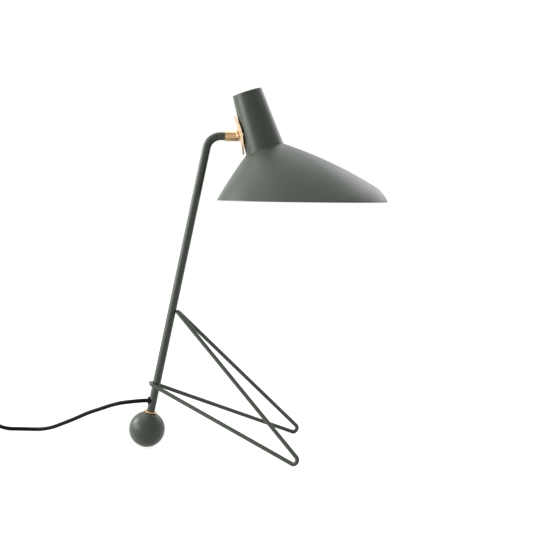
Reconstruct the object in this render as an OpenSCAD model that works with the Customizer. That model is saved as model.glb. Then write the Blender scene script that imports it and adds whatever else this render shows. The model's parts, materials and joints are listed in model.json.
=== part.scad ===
// Tripod table lamp: a leaning tube on a ball foot, a base bent from one wire,
// and a spun metal head that turns about the tube's level arm.
// Millimetres. +X is where the shade reaches, +Y is away from the viewer, +Z is up.
// The table top is z = 0, and the origin is the middle of the lamp's footprint.

/* [Stand] */
// Place of the ball foot's centre along X
ball_x = -136; // [-140:1:-132]
// Diameter of the ball foot
ball_d = 45; // [42:0.5:48]
// Outside diameter of the stem tube
tube_d = 10; // [9.5:0.1:11]
// Wall of the stem tube
tube_wall = 1; // [0.8:0.1:1.2]
// Lean of the stem away from upright, in degrees
stem_lean = 11.6; // [10:0.1:13]
// Height of the level arm's axis above the table
arm_h = 388; // [375:1:400]
// Bend radius of the tube's centre line, where the stem becomes the arm
bend_r = 17.5; // [15:0.5:20]
// Length of the straight arm after the bend
arm_len = 11.4; // [10.5:0.1:14]
// Diameter of the flat washer on the ball
washer_d = 16.6; // [15:0.2:20]
// Thickness of that washer
washer_t = 1; // [0.8:0.1:2]
// Depth of the flat that the washer lies on, from the top of the ball
flat_depth = 0.6; // [0.3:0.1:1.2]
// Diameter of the stud that holds the ball
stud_d = 6; // [5:0.5:6]
// Length of the stud inside the ball
stud_in_ball = 16; // [12:0.5:18]
// Length of the plug in the tube's foot, which the stud screws into
plug_in_tube = 8; // [6:0.5:9]

/* [Wire base] */
// Diameter of the wire
wire_d = 5; // [4.5:0.1:5.5]
// How far the rods aim ahead of the ball, where they would meet at a foot
foot_reach = 203.6; // [195:0.2:212]
// Half the spread of the two feet at the same point
foot_spread = 100; // [92:1:108]
// Bend radius of the wire's centre line at each foot
foot_r = 5; // [4:0.5:7]
// Height at which the wire's front bend touches the stem
front_h = 172; // [165:1:180]
// Bend radius of the wire's centre line at the front of the stem
front_r = 5; // [4:0.5:7]
// Height on the stem of the bend that goes round its back
rear_h = 77.5; // [72:0.5:84]

/* [Head] */
// Gap along the arm's axis from the tube's end to the face of the saddle plate
plate_reach = 10.5; // [9.6:0.1:12]
// Lean of the neck's axis away from upright, in degrees
neck_tilt = 18; // [16:0.5:20]
// Outside diameter of the neck where it meets the shade
neck_base_d = 48; // [46:0.5:50]
// Outside diameter of the neck at its top
neck_top_d = 36.8; // [36:0.2:40]
// Length of the neck along its axis
neck_len = 73; // [71:0.5:76]
// Sheet thickness of the neck
neck_wall = 1.2; // [1:0.1:1.4]
// Height of the arm's axis above the neck's foot, along the neck
plate_h = 24.9; // [24:0.1:26]

/* [Shade] */
// How far the level rim lies below the arm's axis
rim_drop = 78.4; // [75:0.2:82]
// Sheet thickness of the spun shade
shade_wall = 1.2; // [1:0.1:1.6]
// Angle of the sheet at the top of the crown, from the neck's axis
crown_angle = 54.2; // [53:0.1:56]
// Radius of the crown's long curve
crown_r = 519.5; // [480:0.5:560]
// Angle where the long curve becomes the shoulder
shoulder_angle = 40.5; // [39:0.1:42]
// Radius of the shoulder
shoulder_r = 36; // [32:0.5:42]
// Angle of the straight lip below the shoulder
lip_angle = 8; // [4:0.5:10]
// Radius of the small fillet that the crown has round the neck's foot
root_r = 2; // [1:0.5:3]
// Height of the collar that the shade's crown has inside the neck
collar_h = 7; // [5:0.5:8]

/* [Saddle plate] */
// Height of the oval plate
plate_len = 50; // [46:0.5:54]
// Width of the oval plate across the neck
plate_w = 27.4; // [24:0.2:30]
// Radius of the plate's rounded ends
plate_end_r = 8; // [7:0.5:9]
// How far the oval's middle lies above the arm's axis, along the neck
plate_rise = 1.9; // [0:0.1:3]
// Thickness of the plate
plate_t = 1.7; // [1.6:0.1:2.2]
// Gap between the plate and the neck
standoff = 2.4; // [2:0.1:2.8]
// Angle round the neck from the arm's axis to each of the two neck screws
screw_side = 21; // [19.5:0.5:23]
// Diameter of the neck screws
screw_d = 3; // [2.5:0.5:3]
// Outside diameter of the spacers round those screws
spacer_d = 6.5; // [6:0.5:7.5]

/* [Sleeve] */
// Outside diameter of the brass sleeve
sleeve_d = 12; // [11.8:0.1:14]
// Length of the sleeve that covers the tube's end
sleeve_over = 5.5; // [5:0.5:7]
// Radius of the fillet between the sleeve and the plate
sleeve_fillet = 2; // [1:0.5:3]
// Diameter of the journal that the sleeve turns on
journal_d = 8; // [7.6:0.1:8]
// Length of the sleeve's inner bearing
bearing_len = 3.6; // [3:0.2:3.8]
// Bore for the lead through the journal
lead_bore = 5.6; // [5.4:0.1:6]

/* [Lampholder and bulb] */
// Outside diameter of the lampholder
holder_d = 28; // [26:0.5:28]
// Height of the lampholder's lower edge above the neck's foot
holder_z = 13; // [12:0.5:14]
// Diameter of the screw cap of the bulb
cap_d = 13.8; // [13.6:0.1:13.9]
// Diameter of the bulb's globe
globe_d = 45; // [40:1:45]
// Length of the bulb, from the contact to the far side of the globe
bulb_len = 69; // [66:1:71]
// Diameter of the threaded tube that carries the lampholder
nipple_d = 10; // [9.5:0.5:10]
// Diameter of the lead that runs up the neck
lead_d = 4; // [3.6:0.1:4.2]

/* [Cord] */
// Diameter of the cord
cord_d = 5; // [5:0.1:5.2]
// Height of the cord's grommet in the stem
grommet_h = 58.3; // [56:0.1:60]
// Diameter of the grommet's flange
grommet_d = 10; // [9.2:0.1:10]
// How far the flange stands out of the tube
grommet_out = 1.4; // [1:0.1:1.6]

/* [Switch and plug] */
// Length of the switch in the cord
switch_len = 56; // [54:1:58]
// Width of the switch
switch_w = 26; // [24:0.5:28]
// Height of the switch
switch_h = 17; // [16:0.5:18]
// Wall of the switch's shell
switch_wall = 1.8; // [1.6:0.1:2]
// Length of the rocker
rocker_len = 16; // [14:0.5:18]
// Width of the rocker
rocker_w = 10; // [9:0.5:11]
// Tilt of the rocker in each of its two positions, in degrees
rocker_tilt = 6; // [5:0.5:7]
// Width of the plug across its pins
plug_w = 35.3; // [34:0.1:37]
// Thickness of the plug
plug_t = 13.7; // [13:0.1:14.5]
// Length of the plug's body
plug_len = 32; // [30:1:34]
// Diameter of a plug pin's bare tip
pin_d = 4; // [4:0.1:4.8]
// Length of a plug pin outside the body
pin_len = 19; // [19:1:19]
// Length of the moulded sleeve on each pin
pin_sleeve = 10; // [9:0.5:10]
// Distance between the plug pins
pin_gap = 19; // [19:1:19]

/* [Hidden] */
$fn = 64;

// Clearances
seat = 0.02;        // between pieces that are fixed face to face
fit = 0.04;         // all round a shaft that turns or a piece that is pushed in
loose = 0.3;        // all round a lead or a screw in its hole
past = 1;           // how far a cutter runs past what it cuts
lap = 0.3;          // how far a bar's straight part runs into its bends
hair = 0.04;        // how much thicker than the bar its bends are

// Paint and metals
paint = [0.29, 0.31, 0.285];
brass = [0.82, 0.67, 0.45];
steel = [0.62, 0.63, 0.65];
black = [0.05, 0.05, 0.055];
bakelite = [0.12, 0.12, 0.12];

// Derived places on the stand
ball_r = ball_d / 2;
washer_z = ball_r - flat_depth;
tube_z = washer_z + washer_t;
tube_id = tube_d - 2 * tube_wall;
corner_len = (arm_h - ball_r) / cos(stem_lean);
bend_turn = 90 - stem_lean;
bend_reach = bend_r * tan(bend_turn / 2);
arm_x = ball_x + (arm_h - ball_r) * tan(stem_lean) + bend_reach;
tube_end = arm_x + arm_len;
stem_way = [sin(stem_lean), 0, cos(stem_lean)];
stem_front = [cos(stem_lean), 0, -sin(stem_lean)];

// The head hangs from the point where the arm's axis meets the plate's outer face
neck_slope = (neck_base_d - neck_top_d) / 2 / neck_len;
neck_angle = atan(neck_slope);
plate_x = tube_end + plate_reach;
plate_r = neck_r(plate_h) + (standoff + plate_t) / cos(neck_angle);
junction = [
    plate_x + plate_r * cos(neck_tilt) + plate_h * sin(neck_tilt),
    0,
    arm_h + plate_r * sin(neck_tilt) - plate_h * cos(neck_tilt)
];

// Lampholder heights above the neck's foot
skirt_top = holder_z + 32;
dome_top = skirt_top + 15;
cap_z = neck_len - 4.5;
cap_t = 1.5;
nut_t = 2.8;
cap_rise = 19;
shell_top = holder_z + 21;
bulb_base = shell_top - 1.3 - 2 * seat - cap_rise;
globe_z = bulb_base + cap_rise - bulb_len + globe_d / 2;

// Radius of the neck's outside at a height above its foot
function neck_r(z) = neck_base_d / 2 - neck_slope * z;

function unit(v) = v / norm(v);
function flip(v) = [v[0], -v[1], v[2]];

// ---- Wire base: one rod with a bend at each foot, in front of and behind the stem ----
wire_r = wire_d / 2;
weld_sink = 0.2;

// Middle of the front bend: the wire just meets the front of the stem
front_mid = [ball_x, 0, ball_r] + stem_way * (front_h - ball_r) / cos(stem_lean)
    + stem_front * (tube_d / 2 + wire_r - weld_sink);
// The rear bend goes round the stem's own axis
rear_r = tube_d / 2 + wire_r + 0.1;
rear_mid = [ball_x, 0, ball_r] + stem_way * (rear_h - ball_r) / cos(stem_lean);

// Distance from a bend's centre back to the corner that its two rods aim at,
// for a bend of radius r whose feet lie d ahead and foot_spread to each side
function corner_back(r, d) =
    let (w2 = foot_spread * foot_spread, r2 = r * r)
    (r2 * d + sqrt(r2 * r2 * d * d + (w2 - r2) * r2 * (w2 + d * d))) / (w2 - r2);
function foot_mid(z) = [ball_x + foot_reach, 0, z];
function front_centre(z) = front_mid + unit(foot_mid(z) - front_mid) * front_r;
function corner_of(centre, r, z) =
    let (way = foot_mid(z) - centre)
    centre - unit(way) * corner_back(r, norm(way));
function front_corner(z) = corner_of(front_centre(z), front_r, z);
function rear_corner(z) = corner_of(rear_mid, rear_r, z);
function foot_corner(z) = [ball_x + foot_reach, -foot_spread, z];

// Centre of the bend of radius r at corner p, between the ways a and b
function bend_centre(p, a, b, r) =
    let (mid = unit(a + b))
    p + mid * r / sin(acos(a * mid));
// Roll about the way w from the inward way x1 of one bend to the inward way x2 of the next
function roll_of(w, x1, x2) = atan2(w * cross(x1, x2), x1 * x2);
// Lowest point of the wire at a foot whose corner is at height z
function foot_low(z) =
    let (
        p = foot_corner(z),
        a = unit(front_corner(z) - p),
        b = unit(rear_corner(z) - p),
        across = unit(cross(a, b))
    )
    bend_centre(p, a, b, foot_r)[2] - foot_r * sqrt(1 - across[2] * across[2])
        - wire_r - hair / 2;
// A few rounds of correction bring the feet down onto the table
function settle(z, rounds) = rounds == 0 ? z : settle(z - foot_low(z), rounds - 1);
foot_z = settle(-6, 6);

near_foot = foot_corner(foot_z);
front_apex = front_corner(foot_z);
rear_apex = rear_corner(foot_z);

// ---- Spun shade: profile points as [radius, height], height falling from the neck's foot ----
// A curve of radius r that turns from angle a to angle b, from point p
function turned(p, r, a, b, steps) = [
    for (i = [1 : steps])
    let (t = a + (b - a) * i / steps)
    [p[0] + r * (cos(t) - cos(a)), p[1] - r * (sin(a) - sin(t))]
];
crown_steps = 14;
shoulder_steps = 8;
lip_len = 14;
crown_start = [neck_base_d / 2, 0];
crown_pts = turned(crown_start, crown_r, crown_angle, shoulder_angle, crown_steps);
shoulder_pts = turned(crown_pts[crown_steps - 1], shoulder_r, shoulder_angle, lip_angle,
    shoulder_steps);
lip_start = shoulder_pts[shoulder_steps - 1];
lip_end = lip_start + lip_len * [sin(lip_angle), -cos(lip_angle)];
outer_pts = concat([crown_start], crown_pts, shoulder_pts, [lip_end]);
// Fillet round the neck's foot, tangent to the neck above and to the crown below
root_tangent = root_r * tan((crown_angle - neck_angle) / 2);
root_pts = turned(crown_start + root_tangent * [-sin(neck_angle), cos(neck_angle)],
    -root_r, neck_angle, crown_angle, 4);
function sheet_angle(i) =
    i <= crown_steps
    ? crown_angle + (shoulder_angle - crown_angle) * i / crown_steps
    : i <= crown_steps + shoulder_steps
    ? shoulder_angle + (lip_angle - shoulder_angle) * (i - crown_steps) / shoulder_steps
    : lip_angle;
// The inside is the outside moved in by the sheet's thickness
inner_pts = [
    for (i = [len(outer_pts) - 1 : -1 : 0])
    outer_pts[i] - shade_wall * [cos(sheet_angle(i)), sin(sheet_angle(i))]
];

// ---- Cord: routes chosen by hand, round numbers, from the grommet to the plug ----
switch_z = 8.5;
plug_z = plug_t / 2;
cord_route = [
    [-134.7, 0, 58.3], [-140, 0, 58.2], [-149, 1, 57.2], [-158, 3, 55.8], [-171, 7, 53.2],
    [-185, 14, 48.4], [-199, 22, 42.4], [-216, 32, 35], [-235, 44, 25], [-254, 57, 15.4],
    [-270, 68, 8], [-285, 76, 3.8], [-300, 80.5, 2.5], [-315, 81, 2.5], [-328, 81, 2.6],
    [-338, 81, 4.2], [-346, 81, 7.4], [-352, 81, 8.5], [-358, 81, 8.5]
];
link_route = [
    [-414, 81, 8.5], [-419, 81, 8.5], [-427, 78.5, 7.5], [-433, 73, 5.6], [-436, 65, 4],
    [-436.5, 56, 2.9], [-436, 44, 2.5], [-436, 32, 2.5], [-436, 20, 2.5], [-436, 7, 2.5]
];
tail_route = [
    [-398, -31, 19.3], [-391, -31, 19], [-382, -31, 16.8], [-374, -31, 13.6],
    [-366, -31, 10.2], [-358, -31, 7], [-350, -32.5, 4.6], [-342.5, -37.5, 3],
    [-338, -44.5, 2.5], [-336.5, -53, 2.5], [-338, -61.5, 2.8], [-343, -68.5, 3.8],
    [-350, -73, 5.2], [-358, -74.5, 6.5], [-364, -74.5, 6.85], [-369, -74.5, 6.85]
];
cord_sides = 8;

// Coil of the rest of the cord: four layers that spiral in and out in turn
coil_x = -403;
coil_y = 2;
coil_outer = 33;
coil_pitch = 6.4;
layer_rise = 5.6;
layer_turns = 1.6875;
climb_turns = 0.5;
coil_layers = 4;
coil_turns = coil_layers * layer_turns + (coil_layers - 1) * climb_turns;
ring_steps = 24;
coil_sides = 6;

// Where a point lies in its layer: layer number and turns since that layer began
function layer_of(t) = min(floor(t / (layer_turns + climb_turns)), coil_layers - 1);
function in_layer(t) = t - layer_of(t) * (layer_turns + climb_turns);
function swing(t) = min(in_layer(t), layer_turns) * coil_pitch;
function coil_radius(t) =
    layer_of(t) % 2 == 0
    ? coil_outer - swing(t)
    : coil_outer - layer_turns * coil_pitch + swing(t);
function ease(u) = u * u * (3 - 2 * u);
function coil_height(t) =
    cord_d / 2 + layer_rise
    * (layer_of(t) + ease(max(in_layer(t) - layer_turns, 0) / climb_turns));
function coil_point(t) = [
    coil_x + coil_radius(t) * cos(180 + 360 * t),
    coil_y + coil_radius(t) * sin(180 + 360 * t),
    coil_height(t)
];
coil_points = [for (i = [0 : round(coil_turns * ring_steps)]) coil_point(i / ring_steps)];
coil_last = coil_points[len(coil_points) - 1];
coil_path = concat(
    [coil_points[0] + [0, cord_d, 0]],
    coil_points,
    [coil_last + [cord_d, 0, 0]]
);
// Least gap between the coil's turns, on points at least a third of a turn apart
gap_skip = ring_steps / 3;
coil_gap = min([
    for (i = [0 : len(coil_points) - 1 - gap_skip])
    min([for (j = [i + gap_skip : len(coil_points) - 1]) norm(coil_points[i] - coil_points[j])])
]) - cord_d;
echo(str("coil: least gap to itself ", coil_gap, " mm"));

function route_len(p) =
    len(p) < 2 ? 0 : [for (i = 0, s = 0; i < len(p); s = s + (i + 1 < len(p)
        ? norm(p[i + 1] - p[i]) : 0), i = i + 1) s][len(p) - 1];
echo(str("cord: whole length ", round(route_len(cord_route) + switch_len
    + route_len(link_route) + route_len(coil_path) + route_len(tail_route)), " mm"));

// ---- Shared shapes ----

// A round cord swept along points: one closed tube with flat ends
module swept(points, d, sides) {
    last = len(points) - 1;
    way = [for (i = [0 : last]) unit(points[min(i + 1, last)] - points[max(i - 1, 0)])];
    aside = [for (w = way) unit(cross(w, [0, 0, 1]))];
    rings = [
        for (i = [0 : last])
        for (k = [0 : sides - 1])
        let (a = 360 * (k + 0.5) / sides)
        points[i] + d / 2 * (cos(a) * aside[i] + sin(a) * cross(aside[i], way[i]))
    ];
    sides_faces = [
        for (i = [0 : last - 1])
        for (k = [0 : sides - 1])
        let (
            n = (k + 1) % sides,
            a = i * sides + k,
            b = i * sides + n,
            c = (i + 1) * sides + n,
            e = (i + 1) * sides + k
        )
        each [[a, b, c], [a, c, e]]
    ];
    first_face = [for (k = [1 : sides - 2]) [0, k + 1, k]];
    end = last * sides;
    last_face = [for (k = [1 : sides - 2]) [end, end + k, end + k + 1]];
    polyhedron(points = rings, faces = concat(sides_faces, first_face, last_face));
}

// A frame at p whose +X is x and whose +Z is z
module at_frame(p, x, z) {
    y = cross(z, x);
    multmatrix([
        [x[0], y[0], z[0], p[0]],
        [x[1], y[1], z[1], p[1]],
        [x[2], y[2], z[2], p[2]],
        [0, 0, 0, 1]
    ])
        children();
}

// Round bar bent as on a bending bench, up +Z from the origin. Each step of the plan is
// [feed, roll, turn, bend radius], and the last step is a feed alone. A straight part runs a
// little way into its bends, which are a hair thicker, so that the bar is one clean solid.
module bent(d, plan, i = 0) {
    feed = plan[i][0];
    first = i == 0;
    last = i == len(plan) - 1;
    if (feed > 0)
        translate([0, 0, first ? 0 : -lap])
            cylinder(d = d, h = feed + (first ? 0 : lap) + (last ? 0 : lap));
    if (!last) {
        r = plan[i][3];
        translate([0, 0, feed])
            rotate([0, 0, plan[i][1]])
                translate([r, 0, 0]) {
                    rotate([90, 0, 180])
                        rotate_extrude(angle = plan[i][2])
                            translate([r, 0])
                                circle(d = d + hair);
                    rotate([0, plan[i][2], 0])
                        translate([-r, 0, 0])
                            bent(d, plan, i + 1);
                }
    }
}

// Up the stem, from the ball's centre
module on_stem() {
    translate([ball_x, 0, ball_r]) rotate([0, stem_lean, 0]) children();
}

// Along the arm's axis, from a place x on it; +Z of the child points along +X
module on_arm(x) {
    translate([x, 0, arm_h]) rotate([0, 90, 0]) children();
}

// Up the neck, from the middle of its foot
module on_neck() {
    translate(junction) rotate([0, -neck_tilt, 0]) children();
}

// Out of the neck's back at a height above its foot and an angle round it;
// +Z of the child points outward
module on_neck_back(z, side = 0) {
    on_neck() translate([0, 0, z]) rotate([0, 0, side]) rotate([0, -90, 0]) children();
}

// A solid cone that follows the neck at a distance outside its surface
module neck_cone(off, low, high) {
    on_neck()
        translate([0, 0, low])
            cylinder(
                h = high - low,
                r1 = neck_r(low) + off / cos(neck_angle),
                r2 = neck_r(high) + off / cos(neck_angle),
                $fn = 96
            );
}

// Straight cylinder with a hole through it, standing on z = 0
module ring(outer, inner, h) {
    difference() {
        cylinder(d = outer, h = h);
        translate([0, 0, -past]) cylinder(d = inner, h = h + 2 * past);
    }
}

// The stem and the arm as one bent bar, from a place on the stem to a place on the arm
module stem_run(d, start, end_x) {
    on_stem()
        translate([0, 0, start])
            bent(d, [
                [corner_len - bend_reach - start, 0, bend_turn, bend_r],
                [end_x - arm_x]
            ]);
}

// ---- Stand ----

grommet_hole = cord_d + 2;
grommet_x = ball_x + (grommet_h - ball_r) * tan(stem_lean);
grommet_face = tube_d / 2 / cos(stem_lean) + grommet_out;

// Level, out of the stem's back at the cord's height; +Z of the child points along -X
module at_grommet() {
    translate([grommet_x, 0, grommet_h]) rotate([0, -90, 0]) children();
}

module stem_tube() {
    color(paint)
        difference() {
            stem_run(tube_d, tube_z, tube_end);
            stem_run(tube_id, tube_z - past, tube_end + past);
            at_grommet() cylinder(d = grommet_hole, h = tube_d);
        }
}

module wire_base() {
    to_front = unit(front_apex - near_foot);
    to_rear = unit(rear_apex - near_foot);
    foot_half = acos(to_front * unit(to_front + to_rear));
    front_half = acos(-to_front * unit(-to_front - flip(to_front)));
    rear_half = acos(-to_rear * unit(-to_rear - flip(to_rear)));
    front_start = front_apex - to_front * front_r / tan(front_half);
    foot_start = near_foot + to_front * foot_r / tan(foot_half);
    foot_finish = near_foot + to_rear * foot_r / tan(foot_half);
    rear_start = rear_apex - to_rear * rear_r / tan(rear_half);
    // Ways from the rod in to the centre of each bend
    front_in = unit(bend_centre(front_apex, -to_front, -flip(to_front), front_r) - front_start);
    foot_c = bend_centre(near_foot, to_front, to_rear, foot_r);
    rear_in = unit(bend_centre(rear_apex, -to_rear, -flip(to_rear), rear_r) - rear_start);
    plan = [
        [0, 0, 180 - 2 * front_half, front_r],
        [norm(foot_start - front_start), roll_of(-to_front, front_in, unit(foot_c - foot_start)),
         180 - 2 * foot_half, foot_r],
        [norm(rear_start - foot_finish), roll_of(to_rear, unit(foot_c - foot_finish), rear_in),
         180 - 2 * rear_half, rear_r],
        [0]
    ];
    // One half of the loop is bent, cut at the middle plane, and mirrored
    color(paint)
        difference() {
            for (side = [0, 1])
                mirror([0, side, 0])
                    intersection() {
                        at_frame(flip(front_start), flip(front_in), flip(to_front))
                            bent(wire_d, plan);
                        translate([ball_x - ball_d, -2 * foot_spread, -past])
                            cube([2 * foot_reach, 2 * foot_spread, front_h + ball_d]);
                    }
            on_stem()
                translate([0, 0, rear_h - ball_r - 2 * tube_d])
                    cylinder(d = tube_d + 2 * fit, h = front_h - rear_h + 4 * tube_d);
        }
}

module ball_foot() {
    color(paint)
        on_stem()
            difference() {
                sphere(d = ball_d);
                translate([-ball_r, -ball_r, washer_z]) cube([ball_d, ball_d, ball_r]);
                translate([0, 0, washer_z - stud_in_ball - fit])
                    cylinder(d = stud_d + 2 * fit, h = stud_in_ball + past);
            }
}

module ball_washer() {
    color(brass)
        on_stem()
            translate([0, 0, washer_z + seat])
                ring(washer_d, stud_d + 2 * loose, washer_t - 2 * seat);
}

module ball_stud() {
    color(steel)
        on_stem()
            translate([0, 0, washer_z - stud_in_ball])
                cylinder(d = stud_d, h = stud_in_ball + washer_t + plug_in_tube);
}

module stem_plug() {
    color(steel)
        on_stem()
            translate([0, 0, tube_z])
                ring(tube_id - 2 * fit, stud_d + 2 * fit, plug_in_tube);
}

module cord_grommet() {
    taper = 0.9;
    color(black)
        difference() {
            at_grommet() {
                // Flange that hugs the tube, with a tapered face
                cylinder(d = grommet_d, h = grommet_face - taper);
                translate([0, 0, grommet_face - taper])
                    cylinder(d1 = grommet_d, d2 = grommet_d - 2 * taper, h = taper);
                cylinder(d = grommet_hole - 2 * fit, h = tube_d / 2);
            }
            at_grommet()
                translate([0, 0, -past])
                    cylinder(d = cord_d + 2 * fit, h = grommet_face + 2 * past);
            difference() {
                on_stem() cylinder(d = tube_d + 2 * fit, h = 3 * ball_d);
                at_grommet() cylinder(d = grommet_hole - 2 * fit, h = tube_d);
            }
            on_stem() cylinder(d = tube_id, h = 3 * ball_d);
        }
}

// The cord's own end inside the tube, from the grommet to the swivel
module stem_lead() {
    color(black)
        union() {
            at_grommet() cylinder(d = cord_d, h = grommet_x - cord_route[0][0] - 2 * seat);
            at_grommet() sphere(d = cord_d);
            stem_run(cord_d, (grommet_h - ball_r) / cos(stem_lean), spigot_end);
        }
}

// ---- Swivel between the arm and the head ----
thrust_t = 0.5;
bearing_x = tube_end + thrust_t + 2 * seat;
ring_t = 0.8;
ring_x = bearing_x + bearing_len + 0.1;
spigot_end = ring_x + ring_t + 0.8;
spigot_in = 9;
groove_d = journal_d - 1;
ring_od = sleeve_d - 2;
recess_d = sleeve_d - 1.4;

module swivel_spigot() {
    color(steel)
        difference() {
            union() {
                on_arm(tube_end - spigot_in) cylinder(d = tube_id - 2 * fit, h = spigot_in);
                on_arm(tube_end) cylinder(d = min(journal_d, tube_id - 2 * fit), h = spigot_end - tube_end);
            }
            on_arm(tube_end - spigot_in - past)
                cylinder(d = lead_bore, h = spigot_in + spigot_end - tube_end + 2 * past);
            on_arm(ring_x - seat) ring(tube_d, groove_d, ring_t + 2 * seat);
        }
}

module thrust_washer() {
    color([0.9, 0.9, 0.86])
        on_arm(tube_end + seat) ring(tube_d, journal_d + 2 * fit, thrust_t);
}

module retaining_ring() {
    color(steel)
        on_arm(ring_x)
            difference() {
                ring(ring_od, groove_d + 2 * seat, ring_t);
                translate([0, -1, -past]) cube([ring_od, 2, ring_t + 2 * past]);
            }
}

// ---- Head ----

module arm_sleeve() {
    flare_r = sleeve_d / 2 + sleeve_fillet;
    start = tube_end - sleeve_over;
    color(brass)
        difference() {
            union() {
                on_arm(start) cylinder(d = sleeve_d, h = plate_x - start);
                // The fillet stands square to the plate, which leans, and the sleeve
                // comes out of its middle
                on_neck_back(plate_h)
                    translate([sleeve_fillet * tan(neck_tilt) / 2, 0, plate_r - sleeve_fillet])
                        rotate_extrude()
                            difference() {
                                square([flare_r, 2 * sleeve_fillet]);
                                translate([flare_r, 2 * sleeve_fillet])
                                    circle(r = sleeve_fillet);
                            }
            }
            neck_cone(standoff + plate_t + seat, -neck_len, 2 * neck_len);
            on_arm(start - past)
                cylinder(d = tube_d + 2 * fit, h = sleeve_over + past + thrust_t + 2 * seat);
            on_arm(start)
                cylinder(d = journal_d + 2 * fit, h = plate_x - start);
            on_arm(bearing_x + bearing_len) cylinder(d = recess_d, h = plate_reach);
        }
}

// Oval of four arcs: plate_len high, plate_w wide, with ends of radius plate_end_r
function arc(c, r, a, b, steps) = [
    for (i = [0 : steps - 1])
    let (t = a + (b - a) * i / steps)
    c + r * [cos(t), sin(t)]
];

module plate_outline() {
    k = plate_len / 2 - plate_end_r;
    b = plate_w / 2;
    side_r = (k * k + b * b - plate_end_r * plate_end_r) / (2 * (b - plate_end_r));
    side_c = side_r - b;
    join = atan2(side_c, k);
    polygon(concat(
        arc([k, 0], plate_end_r, -join, join, 14),
        arc([0, -side_c], side_r, join, 180 - join, 18),
        arc([-k, 0], plate_end_r, 180 - join, 180 + join, 14),
        arc([0, side_c], side_r, 180 + join, 360 - join, 18)
    ));
}

module saddle_plate() {
    color(brass)
        difference() {
            intersection() {
                neck_cone(standoff + plate_t, plate_h - plate_len, plate_h + plate_len);
                on_neck_back(plate_h + plate_rise)
                    linear_extrude(neck_base_d) plate_outline();
            }
            neck_cone(standoff, plate_h - 1.5 * plate_len, plate_h + 1.5 * plate_len);
            on_arm(plate_x - plate_len) cylinder(d = recess_d, h = plate_len + neck_base_d / 2);
            for (s = [-1, 1])
                on_neck_back(plate_h, s * screw_side)
                    cylinder(d = screw_d + 2 * fit, h = neck_base_d);
        }
}

module neck_spacers() {
    color(steel)
        intersection() {
            difference() {
                neck_cone(standoff - seat, 0, neck_len);
                neck_cone(seat, -neck_len, 2 * neck_len);
            }
            for (s = [-1, 1])
                on_neck_back(plate_h, s * screw_side)
                    ring(spacer_d, screw_d + 2 * loose, neck_base_d);
        }
}

module neck_screws() {
    head_t = 1.8;
    inside = neck_r(plate_h + spacer_d / 2) - neck_wall / cos(neck_angle) - seat;
    color(steel)
        for (s = [-1, 1])
            on_neck_back(plate_h, s * screw_side) {
                translate([0, 0, inside - head_t]) cylinder(d = 1.9 * screw_d, h = head_t);
                translate([0, 0, inside - past / 2])
                    cylinder(d = screw_d, h = neck_r(plate_h) - inside + standoff + plate_t);
            }
}

bush_d = lead_d + 4;
bush_in = 0.3;

// Bush that guards the lead where it goes through the neck
module neck_bush() {
    color(black)
        difference() {
            on_arm(plate_x) cylinder(d = bush_d, h = plate_r);
            on_arm(plate_x - past) cylinder(d = lead_d + 4 * loose, h = plate_r + 2 * past);
            difference() {
                neck_cone(3 * neck_base_d, -neck_len, 2 * neck_len);
                neck_cone(standoff - loose, -neck_len - past, 2 * neck_len + past);
            }
            neck_cone(-neck_wall - bush_in, -neck_len, 2 * neck_len);
        }
}

module neck_shell() {
    color(paint)
        difference() {
            neck_cone(0, seat, neck_len);
            neck_cone(-neck_wall, -past, neck_len + past);
            on_arm(plate_x) cylinder(d = bush_d + 2 * fit, h = plate_r);
            for (s = [-1, 1])
                on_neck_back(plate_h, s * screw_side)
                    cylinder(d = screw_d + 2 * fit, h = neck_base_d);
        }
}

module shade_shell() {
    collar = neck_wall / cos(neck_angle) + seat;
    collar_pts = [
        [neck_r(0) - collar - shade_wall, inner_pts[len(inner_pts) - 1][1]],
        [neck_r(collar_h) - collar - shade_wall, collar_h],
        [neck_r(collar_h) - collar, collar_h],
        [neck_r(0) - collar, 0]
    ];
    // The neck's foot stands in this groove
    groove_pts = [
        [neck_r(0) + seat, 0],
        [neck_r(root_pts[0][1]) + seat, root_pts[0][1]]
    ];
    sheet_pts = [for (i = [1 : len(outer_pts) - 1]) outer_pts[i]];
    color(paint)
        difference() {
            on_neck()
                rotate_extrude($fn = 96)
                    polygon(concat(collar_pts, groove_pts, root_pts, sheet_pts, inner_pts));
            translate([junction[0] - crown_r, -crown_r, arm_h - rim_drop - crown_r])
                cube([2 * crown_r, 2 * crown_r, crown_r]);
        }
}

module neck_cap() {
    vents = 8;
    color(paint)
        difference() {
            neck_cone(-neck_wall - fit, cap_z, cap_z + cap_t);
            on_neck() {
                translate([0, 0, cap_z - past]) cylinder(d = nipple_d + 2 * fit, h = cap_t + 2 * past);
                for (i = [0 : vents - 1])
                    rotate([0, 0, 360 * (i + 0.5) / vents])
                        translate([0.68 * (neck_top_d / 2), 0, cap_z - past])
                            cylinder(d = 3, h = cap_t + 2 * past);
            }
        }
}

module holder_nipple() {
    color(steel)
        on_neck()
            translate([0, 0, dome_top - 4]) ring(nipple_d, nipple_d - 3, cap_z + cap_t + nut_t + 0.6 - dome_top + 4);
}

module nipple_nuts() {
    color(steel)
        on_neck()
            for (z = [cap_z - nut_t - seat, cap_z + cap_t + seat])
                translate([0, 0, z])
                    difference() {
                        cylinder(d = 1.6 * nipple_d, h = nut_t, $fn = 6);
                        translate([0, 0, -past])
                            cylinder(d = nipple_d + 2 * fit, h = nut_t + 2 * past);
                    }
}

holder_wall = 2;
dome_lip = 6;

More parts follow.
